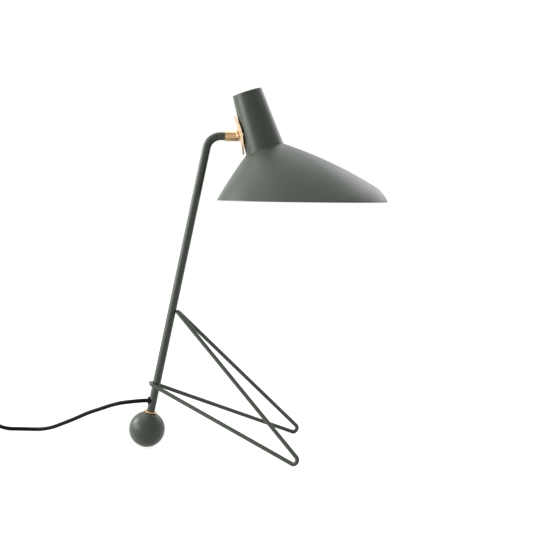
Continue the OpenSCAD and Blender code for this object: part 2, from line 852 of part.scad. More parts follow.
// Upper half of the lampholder, screwed on the nipple, with the lead's way in at its side
module holder_dome() {
    r = holder_d / 2;
    color(bakelite)
        difference() {
            on_neck()
                rotate_extrude()
                    polygon([
                        [r - holder_wall - fit, skirt_top - dome_lip],
                        [r - holder_wall - fit, skirt_top + seat],
                        [r, skirt_top + seat],
                        [r, skirt_top + 9],
                        [r - 1.5, skirt_top + 12],
                        [r - 5, dome_top],
                        [nipple_d / 2 + fit, dome_top],
                        [nipple_d / 2 + fit, dome_top - 4],
                        [r - 5 - holder_wall, dome_top - 4],
                        [r - 2 * holder_wall, skirt_top + 8],
                        [r - 2 * holder_wall, skirt_top - dome_lip]
                    ]);
            on_neck_back(lead_in_z) cylinder(d = lead_d + 2 * loose, h = holder_d);
        }
}

module holder_skirt() {
    r = holder_d / 2;
    color(bakelite)
        on_neck()
            rotate_extrude()
                polygon([
                    [r - 4.5, holder_z],
                    [r - 1, holder_z],
                    [r, holder_z + 2],
                    [r, skirt_top],
                    [r - holder_wall, skirt_top],
                    [r - holder_wall, holder_z + 2],
                    [r - 4.5, holder_z + 2]
                ]);
}

core_t = 5;

// Insulating block that carries the contacts
module holder_core() {
    color([0.86, 0.84, 0.79])
        on_neck()
            difference() {
                translate([0, 0, shell_top])
                    cylinder(r = holder_d / 2 - holder_wall - fit, h = core_t - seat);
                translate([0, 0, shell_top + core_t - 2])
                    cylinder(r = holder_d / 2 - 3 * holder_wall, h = core_t);
            }
}

module thread_shell() {
    color(brass)
        on_neck()
            translate([0, 0, holder_z + 2 + seat])
                ring(cap_d + 1.6, cap_d + 4 * fit, shell_top - holder_z - 2 - 2 * seat);
}

// Sprung contact in the middle of the holder
module centre_contact() {
    color(brass)
        on_neck() {
            translate([-5, -1.5, shell_top - 0.5 - seat]) cube([7, 3, 0.5]);
            translate([0, 0, shell_top - 1.3 - seat]) cylinder(d = 3, h = 1.3);
        }
}

module bulb_cap() {
    base = bulb_base;
    pitch = 2.8;
    threads = 5;
    color([0.8, 0.8, 0.81])
        on_neck()
            rotate_extrude()
                polygon(concat(
                    [[0, base + 0.5], [cap_d / 2 - 1, base + 0.5], [cap_d / 2 - 1, base]],
                    [[cap_d / 2 - 0.4, base]],
                    [
                        for (i = [0 : threads - 1])
                        each [
                            [cap_d / 2 - 0.5, base + 2 + i * pitch],
                            [cap_d / 2, base + 2 + (i + 0.5) * pitch]
                        ]
                    ],
                    [
                        [cap_d / 2 - 0.5, base + 2 + threads * pitch],
                        [3.6, base + cap_rise - 1],
                        [2.4, base + cap_rise - 1],
                        [2.4, base + cap_rise],
                        [0, base + cap_rise]
                    ]
                ));
}

// Opal globe with a neck that fits in the screw cap
module bulb_globe() {
    r = globe_d / 2;
    base = bulb_base;
    throat = cap_d / 2 - 0.4;
    neck_a = 54;
    glass = 0.9;
    steps = 20;
    arc_out = [
        for (i = [0 : steps])
        let (a = -90 + (90 + neck_a) * i / steps)
        [r * cos(a), globe_z + r * sin(a)]
    ];
    arc_in = [
        for (i = [steps : -1 : 0])
        let (a = -90 + (90 + neck_a) * i / steps)
        [(r - glass) * cos(a), globe_z + (r - glass) * sin(a)]
    ];
    color([0.96, 0.96, 0.94])
        on_neck()
            rotate_extrude()
                polygon(concat(
                    arc_out,
                    [[throat + 2, base - 4.5], [throat, base - 2], [throat, base - seat]],
                    [[throat - glass, base - seat], [throat - glass, base - 2.5],
                     [throat + 1, base - 5.2]],
                    arc_in
                ));
}

lead_in_z = skirt_top + 5;
// Middle of the way between the lampholder and the neck, at a height
function lead_r(z) = (holder_d / 2 + neck_r(z) - neck_wall) / 2;
// A point of the neck's middle plane, from [place across, height]
function neck_place(p) = junction
    + p[0] * [cos(neck_tilt), 0, sin(neck_tilt)]
    + p[1] * [-sin(neck_tilt), 0, cos(neck_tilt)];
// Points of a bend of radius r from p, heading at angle a, that turns by t
function bend_pts(p, r, a, t, steps) = [
    for (i = [1 : steps])
    let (b = a + t * i / steps)
    p + r * [sin(b) - sin(a), cos(a) - cos(b)]
];

// The lead from the swivel up the inside of the neck and into the lampholder
module head_lead() {
    turn_r = 2.9;
    // Along the arm's axis, which falls by neck_tilt as the neck sees it
    wall_at = (plate_r - neck_r(plate_h) + neck_wall) / cos(neck_tilt);
    wall_p = [-plate_r, plate_h] + wall_at * [cos(neck_tilt), -sin(neck_tilt)];
    start_p = [-plate_r, plate_h]
        + (spigot_end + loose - plate_x) * [cos(neck_tilt), -sin(neck_tilt)];
    up_pts = bend_pts(wall_p, turn_r, -neck_tilt, 90 + neck_tilt, 6);
    lane_end = [-lead_r(lead_in_z), lead_in_z - turn_r];
    in_pts = bend_pts(lane_end, -turn_r, 90, -90, 5);
    path = concat(
        [start_p, (start_p + wall_p) / 2, wall_p],
        up_pts,
        [(2 * up_pts[5] + lane_end) / 3, (up_pts[5] + 2 * lane_end) / 3, lane_end],
        in_pts,
        [[-holder_d / 2 + holder_wall + 1, lead_in_z]]
    );
    color(black) side_swept([for (p = path) neck_place(p)], lead_d, 10);
}

// As swept(), for a run that stays in the plane y = 0 and may climb upright
module side_swept(points, d, sides) {
    last = len(points) - 1;
    way = [for (i = [0 : last]) unit(points[min(i + 1, last)] - points[max(i - 1, 0)])];
    rings = [
        for (i = [0 : last])
        for (k = [0 : sides - 1])
        let (a = 360 * (k + 0.5) / sides)
        points[i] + d / 2 * (cos(a) * [0, -1, 0] + sin(a) * cross([0, -1, 0], way[i]))
    ];
    faces = concat(
        [
            for (i = [0 : last - 1])
            for (k = [0 : sides - 1])
            let (n = (k + 1) % sides, a = i * sides, b = (i + 1) * sides)
            each [[a + k, a + n, b + n], [a + k, b + n, b + k]]
        ],
        [for (k = [1 : sides - 2]) [0, k + 1, k]],
        [for (k = [1 : sides - 2]) [last * sides, last * sides + k, last * sides + k + 1]]
    );
    polyhedron(points = rings, faces = faces);
}

// ---- Cord, switch and plug ----

module cord() {
    color(black) swept(cord_route, cord_d, cord_sides);
}

module cord_link() {
    color(black) swept(link_route, cord_d, cord_sides);
}

module cord_coil() {
    color(black) swept(coil_path, cord_d, coil_sides);
}

module cord_tail() {
    color(black) swept(tail_route, cord_d, cord_sides);
}

switch_mid = (cord_route[len(cord_route) - 1] + link_route[0]) / 2;
half_gap = seat;

// Outline of the switch seen from above
module switch_plan(inset) {
    r = switch_w / 2 - inset;
    reach = (switch_len - switch_w) / 2;
    for (s = [-1, 1]) translate([s * reach, 0]) circle(r = r);
    square([2 * reach, 2 * r], center = true);
}

// Hole for the cord through both ends of the switch
module switch_cord_hole() {
    translate([-switch_len / 2 - past, 0, switch_z])
        rotate([0, 90, 0])
            cylinder(d = cord_d + 2 * fit, h = switch_len + 2 * past);
}

module at_switch() {
    translate([switch_mid[0], switch_mid[1], 0]) children();
}

boss_x = switch_len / 2 - 9;
boss_d = 8;
floor_t = 1.8;

module switch_base() {
    color(black)
        at_switch()
            difference() {
                union() {
                    difference() {
                        linear_extrude(switch_z - half_gap) switch_plan(0);
                        translate([0, 0, floor_t])
                            linear_extrude(switch_z) switch_plan(switch_wall);
                    }
                    for (s = [-1, 1])
                        translate([s * boss_x, -s * 6.5, floor_t / 2])
                            cylinder(d = boss_d, h = switch_z - half_gap - floor_t / 2);
                }
                for (s = [-1, 1])
                    translate([s * boss_x, -s * 6.5, -past]) {
                        cylinder(d = screw_d + 2 * fit, h = switch_z + 2 * past);
                        cylinder(d = 2 * screw_d + 2 * fit, h = past + 2);
                    }
                for (s = [-1, 1])
                    translate([s * (switch_len / 2 - 2.5), 0, switch_z])
                        rotate([0, 90, 0])
                            cylinder(d = cord_d + 2 * fit, h = 8, center = true);
            }
}

window_l = rocker_len + 1.2;
window_w = rocker_w + 1;
rocker_z = switch_h - 2.6;

module switch_cover() {
    h = switch_h - switch_z;
    color(black)
        at_switch()
            difference() {
                union() {
                    difference() {
                        translate([0, 0, switch_z + half_gap])
                            linear_extrude(h - half_gap) switch_plan(0);
                        translate([0, 0, switch_z - past])
                            linear_extrude(h - 1.6 + past) switch_plan(switch_wall);
                        translate([0, 0, switch_h - 1])
                            linear_extrude(past + 1)
                                difference() {
                                    switch_plan(-past);
                                    switch_plan(0.8);
                                }
                    }
                    for (s = [-1, 1])
                        translate([s * boss_x, -s * 6.5, switch_z + half_gap])
                            cylinder(d = boss_d, h = h - 1);
                    for (s = [-1, 1])
                        translate([-4, s * (window_w / 2 + 1) - 1, rocker_z - 3])
                            cube([8, 2, switch_h - 1.2 - rocker_z + 3]);
                }
                translate([-window_l / 2, -window_w / 2, switch_z - past])
                    cube([window_l, window_w, h + 2 * past]);
                for (s = [-1, 1])
                    translate([s * boss_x, -s * 6.5, switch_z - past])
                        cylinder(d = screw_d + 2 * fit, h = 5 + past);
                for (s = [-1, 1])
                    translate([s * (switch_len / 2 - 2.5), 0, switch_z])
                        rotate([0, 90, 0])
                            cylinder(d = cord_d + 2 * fit, h = 8, center = true);
                translate([0, -switch_w / 2, rocker_z])
                    rotate([-90, 0, 0])
                        cylinder(d = 2 + 2 * seat, h = switch_w);
            }
}

// Rocker with a dished top; it rests tipped towards the lamp's end
module switch_rocker() {
    r = 22;
    color([0.09, 0.09, 0.095])
        at_switch()
            translate([0, 0, rocker_z])
                rotate([0, rocker_tilt, 0])
                    difference() {
                        translate([-rocker_len / 2, -rocker_w / 2, -1.8])
                            cube([rocker_len, rocker_w, 5.6]);
                        translate([0, rocker_w, 2.6 + r])
                            rotate([90, 0, 0])
                                cylinder(r = r, h = 2 * rocker_w, $fn = 96);
                        for (s = [-1, 1])
                            translate([s * rocker_len / 2, rocker_w, -3.4])
                                rotate([90, 0, 0])
                                    cylinder(r = 3.4, h = 2 * rocker_w);
                        translate([0, rocker_w, 0])
                            rotate([90, 0, 0])
                                cylinder(d = 2 + 2 * fit, h = 2 * rocker_w);
                    }
}

module rocker_pin() {
    len_pin = window_w + 3.6;
    color(steel)
        at_switch()
            translate([0, -len_pin / 2, rocker_z])
                rotate([-90, 0, 0])
                    cylinder(d = 2, h = len_pin);
}

module switch_screws() {
    color(steel)
        at_switch()
            for (s = [-1, 1])
                translate([s * boss_x, -s * 6.5, 0]) {
                    translate([0, 0, 0.5]) cylinder(d = 2 * screw_d, h = 1.5 - seat);
                    translate([0, 0, 1]) cylinder(d = screw_d, h = switch_z + 3);
                }
}

// Two brass strips that the rocker joins
module switch_contacts() {
    color(brass)
        at_switch()
            for (s = [-1, 1])
                translate([s * 9 - 5, -2, floor_t + seat]) {
                    cube([10, 4, 1]);
                    translate([s < 0 ? 0 : 9, 0, 0]) cube([1, 4, 3.4]);
                }
}

plug_end = tail_route[len(tail_route) - 1];
relief_len = 18;
pin_root = 8;
pin_core = 2.6;

// From the cord's end at the plug; +X of the child points out along the pins
module at_plug() {
    translate([plug_end[0], plug_end[1], plug_z]) rotate([0, 0, 180]) children();
}

module plug_body() {
    face_x = relief_len + plug_len;
    waist = 12;
    nose = 4;
    color(black)
        at_plug()
            difference() {
                union() {
                    intersection() {
                        translate([0, 0, -plug_t / 2])
                            linear_extrude(plug_t)
                                polygon([
                                    [relief_len + seat, -waist / 2],
                                    [relief_len + 6, -waist / 2 - 2],
                                    [face_x - nose - 4, -plug_w / 2],
                                    [face_x - nose, -plug_w / 2],
                                    [face_x, -plug_w / 2 + 2],
                                    [face_x, plug_w / 2 - 2],
                                    [face_x - nose, plug_w / 2],
                                    [face_x - nose - 4, plug_w / 2],
                                    [relief_len + 6, waist / 2 + 2],
                                    [relief_len + seat, waist / 2]
                                ]);
                        rotate([90, 0, 0])
                            translate([0, 0, -plug_w / 2 - past])
                                linear_extrude(plug_w + 2 * past)
                                    polygon([
                                        [relief_len, -4.5],
                                        [relief_len + 8, -plug_t / 2],
                                        [face_x - 1, -plug_t / 2],
                                        [face_x, -plug_t / 2 + 1],
                                        [face_x, plug_t / 2 - 1],
                                        [face_x - 1, plug_t / 2],
                                        [relief_len + 8, plug_t / 2],
                                        [relief_len, 4.5]
                                    ]);
                    }
                    // Sleeves moulded round the pins, a little thinner than their bare tips
                    for (s = [-1, 1])
                        translate([face_x - past, s * pin_gap / 2, 0])
                            rotate([0, 90, 0])
                                cylinder(d = pin_d - 0.6, h = pin_sleeve + past);
                }
                for (s = [-1, 1])
                    translate([face_x - pin_root, s * pin_gap / 2, 0])
                        rotate([0, 90, 0])
                            cylinder(d = pin_core + 2 * seat, h = pin_root + pin_sleeve + past);
            }
}

module plug_pins() {
    face_x = relief_len + plug_len;
    tip = 0.8;
    color(brass)
        at_plug()
            for (s = [-1, 1])
                translate([face_x - pin_root, s * pin_gap / 2, 0])
                    rotate([0, 90, 0])
                        rotate_extrude()
                            polygon([
                                [0, seat],
                                [pin_core / 2, seat],
                                [pin_core / 2, pin_root + pin_sleeve + seat],
                                [pin_d / 2, pin_root + pin_sleeve + seat],
                                [pin_d / 2, pin_root + pin_len - tip],
                                [pin_d / 2 - tip, pin_root + pin_len],
                                [0, pin_root + pin_len]
                            ]);
}

// Ribbed sleeve that keeps the cord from kinking at the plug
module plug_relief() {
    ribs = 4;
    step = relief_len / (ribs + 0.5);
    color(black)
        at_plug()
            rotate([0, 90, 0])
                rotate_extrude()
                    polygon(concat(
                        [[0, 0], [cord_d / 2 + 0.8, 0]],
                        [
                            for (i = [0 : ribs - 1])
                            each [
                                [cord_d / 2 + 1 + 0.4 * i, (i + 0.1) * step],
                                [cord_d / 2 + 1 + 0.4 * i, (i + 0.6) * step],
                                [cord_d / 2 + 0.3 + 0.4 * i, (i + 0.7) * step],
                                [cord_d / 2 + 0.3 + 0.4 * i, (i + 1) * step]
                            ]
                        ],
                        [[cord_d / 2 + 2, relief_len - 0.4 * step], [cord_d / 2 + 2, relief_len],
                         [0, relief_len]]
                    ));
}

stem_tube();
wire_base();
ball_foot();
ball_washer();
ball_stud();
stem_plug();
cord_grommet();
stem_lead();
swivel_spigot();
thrust_washer();
retaining_ring();
arm_sleeve();
saddle_plate();
neck_spacers();
neck_screws();
neck_bush();
neck_shell();
shade_shell();
neck_cap();
holder_nipple();
nipple_nuts();
holder_dome();
holder_skirt();
holder_core();
thread_shell();
centre_contact();
bulb_cap();
bulb_globe();
head_lead();
cord();
cord_link();
cord_coil();
cord_tail();
switch_base();
switch_cover();
switch_rocker();
rocker_pin();
switch_screws();
switch_contacts();
plug_body();
plug_relief();
plug_pins();
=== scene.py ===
# %% [markdown]
# A table lamp on three points: a leaning tube on a painted ball, a base bent from one wire, and
# a spun metal head that turns about the level arm. The solids come packed as a fixed frame, in
# metres, with +X towards the side that the shade reaches and +Z up. This lesson dresses them:
# first the camera and the cord, then the surfaces that a plain solid can't give, and then light
# and finishes.

import json
import math

import bpy
import numpy as np
from mathutils import Matrix, Vector


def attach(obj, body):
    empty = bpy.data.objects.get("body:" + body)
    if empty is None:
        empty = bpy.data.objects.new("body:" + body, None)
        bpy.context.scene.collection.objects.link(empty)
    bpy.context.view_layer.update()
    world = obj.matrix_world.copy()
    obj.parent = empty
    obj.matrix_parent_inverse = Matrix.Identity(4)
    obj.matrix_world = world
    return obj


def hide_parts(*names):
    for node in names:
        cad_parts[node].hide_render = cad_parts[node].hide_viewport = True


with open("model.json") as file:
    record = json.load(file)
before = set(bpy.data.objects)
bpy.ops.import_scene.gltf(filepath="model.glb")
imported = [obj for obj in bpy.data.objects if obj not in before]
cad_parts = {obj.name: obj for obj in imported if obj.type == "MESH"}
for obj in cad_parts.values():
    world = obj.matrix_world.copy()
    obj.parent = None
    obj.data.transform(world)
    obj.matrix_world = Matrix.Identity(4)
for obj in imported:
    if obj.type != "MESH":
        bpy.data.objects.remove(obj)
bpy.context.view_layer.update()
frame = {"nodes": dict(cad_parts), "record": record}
nodes = frame["nodes"]
MM = 0.001

# %% [markdown]
# The camera stands almost level with the rim of the shade, 1.4 m away, and looks a little down.
# A short telephoto keeps the stem's lean true. Its place was found by fitting the ball, the
# stem, the rim and the two feet to their places in the picture, so it is given as a position,
# a heading, a pitch and a small roll.

# %% Camera
CAMERA_AT = np.array([46.2, -1438.7, 329.7]) * MM
HEADING, PITCH, ROLL = math.radians(1.21), math.radians(4.2), math.radians(-0.66)
FOCAL_PX, PICTURE_PX, SENSOR_MM = 1165.9, 540, 36.0


def camera_axes(heading, pitch, roll):
    """Right, up and back of a camera: level forward turned left by heading, tipped down by
    pitch, then right and up turned about the view by roll."""
    forward = np.array([-math.sin(heading) * math.cos(pitch),
                        math.cos(heading) * math.cos(pitch), -math.sin(pitch)])
    level = np.array([math.cos(heading), math.sin(heading), 0.0])
    top = np.cross(level, forward)
    right = math.cos(roll) * level - math.sin(roll) * top
    up = math.sin(roll) * level + math.cos(roll) * top
    return right, up, -forward


def add_camera():
    """The lens is the focal length in pixels, as a share of the picture's width, on a sensor of
    36 mm."""
    data = bpy.data.cameras.new("product_camera")
    data.sensor_width = SENSOR_MM
    data.lens = FOCAL_PX * SENSOR_MM / PICTURE_PX
    camera = bpy.data.objects.new("product_camera", data)
    bpy.context.scene.collection.objects.link(camera)
    turn = np.eye(4)
    for column, axis in enumerate(camera_axes(HEADING, PITCH, ROLL)):
        turn[:3, column] = axis
    turn[:3, 3] = CAMERA_AT
    camera.matrix_world = Matrix(turn.tolist())
    bpy.context.scene.camera = camera
    return camera


camera = add_camera()
print("lens:", round(camera.data.lens, 2), "mm")

# %% [markdown]
# Every new surface below is a grid of points: a function of two parameters worked out with
# numpy and handed to the mesh in one go. One helper turns such a grid into faces, closed round
# where asked, and another carries a round section along a line. A third measures the volume
# that faces enclose, which is positive only when they look outwards, so that a surface whose
# faces look inwards can be told and turned round.

# %% Helpers for surfaces
def unit(v):
    """Vectors divided by their own length."""
    return v / np.linalg.norm(v, axis=-1, keepdims=True)


def grid_faces(rows, cols, close_rows=False, close_cols=False):
    """Quads of a grid stored row by row: each joins a point, the next in its row, and the two
    beside them in the next row; a closed direction wraps round."""
    i = np.arange(rows if close_rows else rows - 1)[:, None]
    j = np.arange(cols if close_cols else cols - 1)[None, :]
    i, j = np.broadcast_arrays(i, j)
    up, on = (i + 1) % rows, (j + 1) % cols
    return np.stack([i * cols + j, i * cols + on, up * cols + on, up * cols + j],
                    -1).reshape(-1, 4)


def enclosed(verts, quads):
    """Volume inside quads: a sixth of the sum of each triangle's first corner dotted with the
    cross product of the other two."""
    a, b, c, d = (verts[quads[:, k]] for k in range(4))
    return (np.sum(a * np.cross(b, c)) + np.sum(a * np.cross(c, d))) / 6


def link_mesh(name, verts, faces):
    """Smooth object of points in metres, at the origin. Faces are an array or a list."""
    mesh = bpy.data.meshes.new(name)
    mesh.from_pydata(verts.tolist(), [], faces.tolist() if hasattr(faces, "tolist") else faces)
    mesh.polygons.foreach_set("use_smooth", np.ones(len(mesh.polygons), bool))
    mesh.update()
    piece = bpy.data.objects.new(name, mesh)
    bpy.context.scene.collection.objects.link(piece)
    return piece


def finish_piece(piece, body, slot, *stands_for):
    """Every new piece is put on its body, and the solids it stands for are hidden; the finish it
    is given is not used here.
    """
    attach(piece, body)
    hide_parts(*stands_for)
    print(piece.name, len(piece.data.vertices), "points on", body)
    return piece


def tube_along(line, diameter, sides, closed=False, level=(0.0, 0.0, 1.0)):
    """Round tube: at each point a ring in the plane square to the way. Its first direction is
    the way crossed with a fixed one, so the rings don't twist. Open ends get a cap each. The
    grid's faces look inwards as they come, so their corners are taken backwards."""
    way = unit(np.roll(line, -1, 0) - np.roll(line, 1, 0) if closed
               else np.gradient(line, axis=0))
    aside = unit(np.cross(way, level))
    over = np.cross(aside, way)
    a = np.linspace(0, 2 * math.pi, sides, endpoint=False)[None, :, None]
    ring = np.cos(a) * aside[:, None] + np.sin(a) * over[:, None]
    verts = (line[:, None] + diameter / 2 * ring).reshape(-1, 3)
    faces = grid_faces(len(line), sides, close_rows=closed, close_cols=True)[:, ::-1].tolist()
    if not closed:
        last = len(verts) - sides
        faces += [list(range(sides)), list(range(last + sides - 1, last - 1, -1))]
    return verts, faces


# %% [markdown]
# The cord leaves the stem level, sinks on to the table and runs out of the picture. Past the
# edge it goes through its switch, and the rest of its length, 1.9 m in all, lies in a coil of
# four layers, with the plug beside it. The route is the one that the solids follow, in
# millimetres, drawn as one smooth curve through its points, and a round section is carried
# along it.

# %% Cord route
CORD_D, CORD_STEP = 5.0, 2.2
CORD_OUT = [
    (-134.7, 0, 58.3), (-140, 0, 58.2), (-149, 1, 57.2), (-158, 3, 55.8), (-171, 7, 53.2),
    (-185, 14, 48.4), (-199, 22, 42.4), (-216, 32, 35), (-235, 44, 25), (-254, 57, 15.4),
    (-270, 68, 8), (-285, 76, 3.8), (-300, 80.5, 2.5), (-315, 81, 2.5), (-328, 81, 2.6),
    (-338, 81, 4.2), (-346, 81, 7.4), (-352, 81, 8.5), (-358, 81, 8.5),
]
CORD_SWITCH = [(-372, 81, 8.5), (-386, 81, 8.5), (-400, 81, 8.5)]
CORD_LINK = [
    (-414, 81, 8.5), (-419, 81, 8.5), (-427, 78.5, 7.5), (-433, 73, 5.6), (-436, 65, 4),
    (-436.5, 56, 2.9), (-436, 44, 2.5), (-436, 32, 2.5), (-436, 20, 2.5), (-436, 10, 2.5),
]
CORD_TAIL = [
    (-391, -31, 19), (-382, -31, 16.8), (-374, -31, 13.6), (-366, -31, 10.2),
    (-358, -31, 7), (-350, -32.5, 4.6), (-342.5, -37.5, 3), (-338, -44.5, 2.5),
    (-336.5, -53, 2.5), (-338, -61.5, 2.8), (-343, -68.5, 3.8), (-350, -73, 5.2),
    (-358, -74.5, 6.5), (-364, -74.5, 6.85), (-369, -74.5, 6.85),
]


def coil_points(centre=(-403.0, 2.0), outer=33.0, pitch=6.4, rise=5.6, layers=4,
                layer_turns=1.6875, climb=0.5, steps=48):
    """Turn number t gives an angle of half a turn plus t turns. Within a layer the radius
    falls or grows by pitch a turn; in the half turn between layers it stays, and the height
    eases up by one rise."""
    whole = layers * layer_turns + (layers - 1) * climb
    t = np.arange(round(whole * steps) + 1) / steps
    layer = np.minimum(np.floor(t / (layer_turns + climb)), layers - 1)
    inside = t - layer * (layer_turns + climb)
    swing = np.minimum(inside, layer_turns) * pitch
    radius = np.where(layer % 2 == 0, outer - swing, outer - layer_turns * pitch + swing)
    u = np.maximum(inside - layer_turns, 0) / climb
    height = CORD_D / 2 + rise * (layer + u * u * (3 - 2 * u))
    angle = math.pi + 2 * math.pi * t
    return np.stack([centre[0] + radius * np.cos(angle),
                     centre[1] + radius * np.sin(angle), height], -1)


def smooth_line(points, step, samples=12):
    """Catmull-Rom curve through the points: between two of them each place is a cubic mix of
    the four around, and it is sampled again at even steps of its own length."""
    p = np.asarray(points, float)
    before = np.vstack([2 * p[0] - p[1], p[:-1]])[:-1]
    after = np.vstack([p[1:], 2 * p[-1] - p[-2]])[1:]
    u = np.linspace(0, 1, samples, endpoint=False)[None, :, None]
    a, b, c, d = before[:, None], p[:-1][:, None], p[1:][:, None], after[:, None]
    line = 0.5 * (2 * b + (c - a) * u + (2 * a - 5 * b + 4 * c - d) * u**2
                  + (3 * b - a - 3 * c + d) * u**3)
    line = np.vstack([line.reshape(-1, 3), p[-1]])
    along = np.concatenate([[0], np.cumsum(np.linalg.norm(np.diff(line, axis=0), axis=1))])
    even = np.linspace(0, along[-1], int(round(along[-1] / step)) + 1)
    return np.stack([np.interp(even, along, line[:, k]) for k in range(3)], -1)


route = np.vstack([CORD_OUT, CORD_SWITCH, CORD_LINK, coil_points(), CORD_TAIL])
cord_line = smooth_line(route, CORD_STEP)


# %% Cord
def add_cord():
    """One tube from the stem to the plug, in place of the four lengths of solid cord."""
    verts, faces = tube_along(cord_line, CORD_D, sides=18)
    piece = finish_piece(link_mesh("flex", verts * MM, faces), "stand", "cord",
                         "cord", "cord_link", "cord_coil", "cord_tail")
    return piece


flex = add_cord()

# %% [markdown]
# The base is one steel rod, bent four times and welded shut: round one foot, up to the front of
# the stem, down to the other foot, and back round the rear of the stem. It could be four
# straight tubes with elbows between them. One round section carried along one closed line has no
# seams, and the light runs through its bends as it does on the real rod.

# %% Wire base
WIRE_D = 5.0
WIRE_CORNERS = np.array([(67.6, -100, -6.802), (-103.98, 0, 176.758),
                         (67.6, 100, -6.802), (-142.101, 0, 85.124)])
WIRE_BENDS = np.array([5, 5, 5, 7.6])


def bent_loop(corners, bends, arc_steps, rod_steps):
    """Closed line of straight rods and round bends. At a corner, half the angle between its two
    rods puts the arc's centre at r / sin(half) along the line that halves the angle, and the
    arc's start at r / tan(half) back along the first rod. A point of the arc is the centre plus
    r times cosine and sine of the angle turned, on the two directions at its start."""
    back = unit(np.roll(corners, 1, 0) - corners)
    ahead = unit(np.roll(corners, -1, 0) - corners)
    half = np.arccos(np.sum(back * ahead, 1)) / 2
    centre = corners + unit(back + ahead) * (bends / np.sin(half))[:, None]
    start = corners + back * (bends / np.tan(half))[:, None]
    turned = np.linspace(0, 1, arc_steps) * (math.pi - 2 * half)[:, None]
    arcs = (centre[:, None] + np.cos(turned)[..., None] * (start - centre)[:, None]
            - np.sin(turned)[..., None] * (bends[:, None] * back)[:, None])
    u = (np.arange(1, rod_steps) / rod_steps)[None, :, None]
    rods = arcs[:, -1:] * (1 - u) + np.roll(arcs[:, :1], -1, 0) * u
    return np.concatenate([arcs, rods], 1).reshape(-1, 3)


def add_wire():
    """The fixed direction for the rings leans forward and down, which no part of the rod
    follows."""
    line = bent_loop(WIRE_CORNERS, WIRE_BENDS, arc_steps=25, rod_steps=12)
    length = np.linalg.norm(line - np.roll(line, 1, 0), axis=1).sum()
    print("rod:", round(length), "mm long, lowest point", round(line[:, 2].min() - WIRE_D / 2, 3))
    verts, faces = tube_along(line, WIRE_D, sides=28, closed=True, level=(0.9, 0.0, -0.45))
    return finish_piece(link_mesh("bent_rod", verts * MM, faces), "stand", "paint",
                        "wire_base")


rod = add_wire()

# %% [markdown]
# The shade is spun: a disc of sheet steel is pressed over a turning form, so it is a perfect
# solid of revolution on the neck's axis, until its rim is cut off level with the table. A
# solid made of cones shows a faint ring at every joint of its profile. Here the profile is
# given by the angle of the sheet along its own length, a small fillet at the neck, the long
# crown, the shoulder and the lip, and the angle is summed up into a curve without corners.
# Heights count from where the neck's axis meets the shade, and lengths are in millimetres.

# %% Profile of the shade
JUNCTION = np.array([7.813, 0.0, 372.416])
NECK_TILT = math.radians(18)
RIM_HEIGHT = 309.6
NECK_R, NECK_TAPER = 24.0, 4.3867
NECK_LEAN = math.radians(NECK_TAPER)
ROOT_R, CROWN_R, SHOULDER_R, LIP_LEN = 2.0, 519.5, 36.0, 14.0
ANGLES = np.radians([NECK_TAPER, 54.2, 40.5, 8.0])


def shade_profile(step=0.02):
    """Radius, height and angle of the outer skin at even steps of length. The angle is linear in
    length within each bend; the radius is the sum of its sine, the height of minus its
    cosine, taken in the middle of each step."""
    lengths = np.abs(np.diff(ANGLES)) * [ROOT_R, CROWN_R, SHOULDER_R]
    ends = np.concatenate([[0], np.cumsum(lengths)])
    along = np.arange(0, ends[-1] + LIP_LEN, step)
    angle = np.interp(along, ends, ANGLES)
    middle = np.interp(along[:-1] + step / 2, ends, ANGLES)
    outwards = np.append(0, np.cumsum(np.sin(middle))) * step
    downwards = np.append(0, np.cumsum(np.cos(middle))) * step
    tangent = ROOT_R * math.tan((ANGLES[1] - ANGLES[0]) / 2)
    radius = NECK_R - tangent * math.sin(NECK_LEAN) + outwards
    height = tangent * math.cos(NECK_LEAN) - downwards
    return along, radius, height, angle, ends[1]


along, skin_r, skin_z, skin_angle, root_len = shade_profile()
print("profile:", round(along[-1], 1), "mm along the sheet, widest radius", round(skin_r[-1], 1))

# %% [markdown]
# The sheet has two skins, the outer one and one a sheet's thickness inside it, square to it. A
# Solidify modifier could make the second, but then the cut would be square to the sheet, and
# the real rim is cut level. Here each meridian of either skin ends at its own length, just short
# of the level of the rim. Three points on that level join the two skins round a softened edge,
# and at the neck a folded collar joins them. The whole sheet is one closed grid.


# %% Places on the shade
def from_neck(radius, height, turn):
    """Place in the room of a point at a radius and height on the neck's axis, turned about it:
    the axis leans from upright by the tilt, in the plane of X and Z."""
    across = radius * np.cos(turn)
    return np.stack([JUNCTION[0] + across * math.cos(NECK_TILT) - height * math.sin(NECK_TILT),
                     radius * np.sin(turn) + 0 * height,
                     JUNCTION[2] + across * math.sin(NECK_TILT) + height * math.cos(NECK_TILT)],
                    -1)


def rim_length(radius, height, turn):
    """Length along the profile at which each meridian meets the level of the rim: the first
    sample below it, moved back by its share of the last step."""
    z = from_neck(radius[None, :], height[None, :], turn[:, None])[..., 2]
    i = np.argmax(z < RIM_HEIGHT, axis=1)
    rows = np.arange(len(turn))
    part = (z[rows, i - 1] - RIM_HEIGHT) / (z[rows, i - 1] - z[rows, i])
    return along[i - 1] + part * (along[1] - along[0])


def skin(radius, height, length, turn):
    """Points of a skin at given lengths on given meridians."""
    return from_neck(np.interp(length, along, radius), np.interp(length, along, height),
                     turn[:, None])


# %% Spun shade
SHEET = 1.2
# The collar's height, its distance from the neck's outside, the round of its top, and the play
# in the groove that the neck stands in; then the length at which the outer skin leaves it.
COLLAR_H, COLLAR_GAP, COLLAR_FOLD, GROOVE_GAP = 7.0, 1.2235, 0.2, 0.02
SKIN_START = 0.45
# How far before the rim a skin stops, and the shares of the way across it of the three points.
EDGE, EDGE_PARTS = 0.35, np.array([0.12, 0.5, 0.88])[None, :, None]
MERIDIANS, ROOT_ROWS, OUTER_ROWS, INNER_ROWS = 224, 7, 91, 61


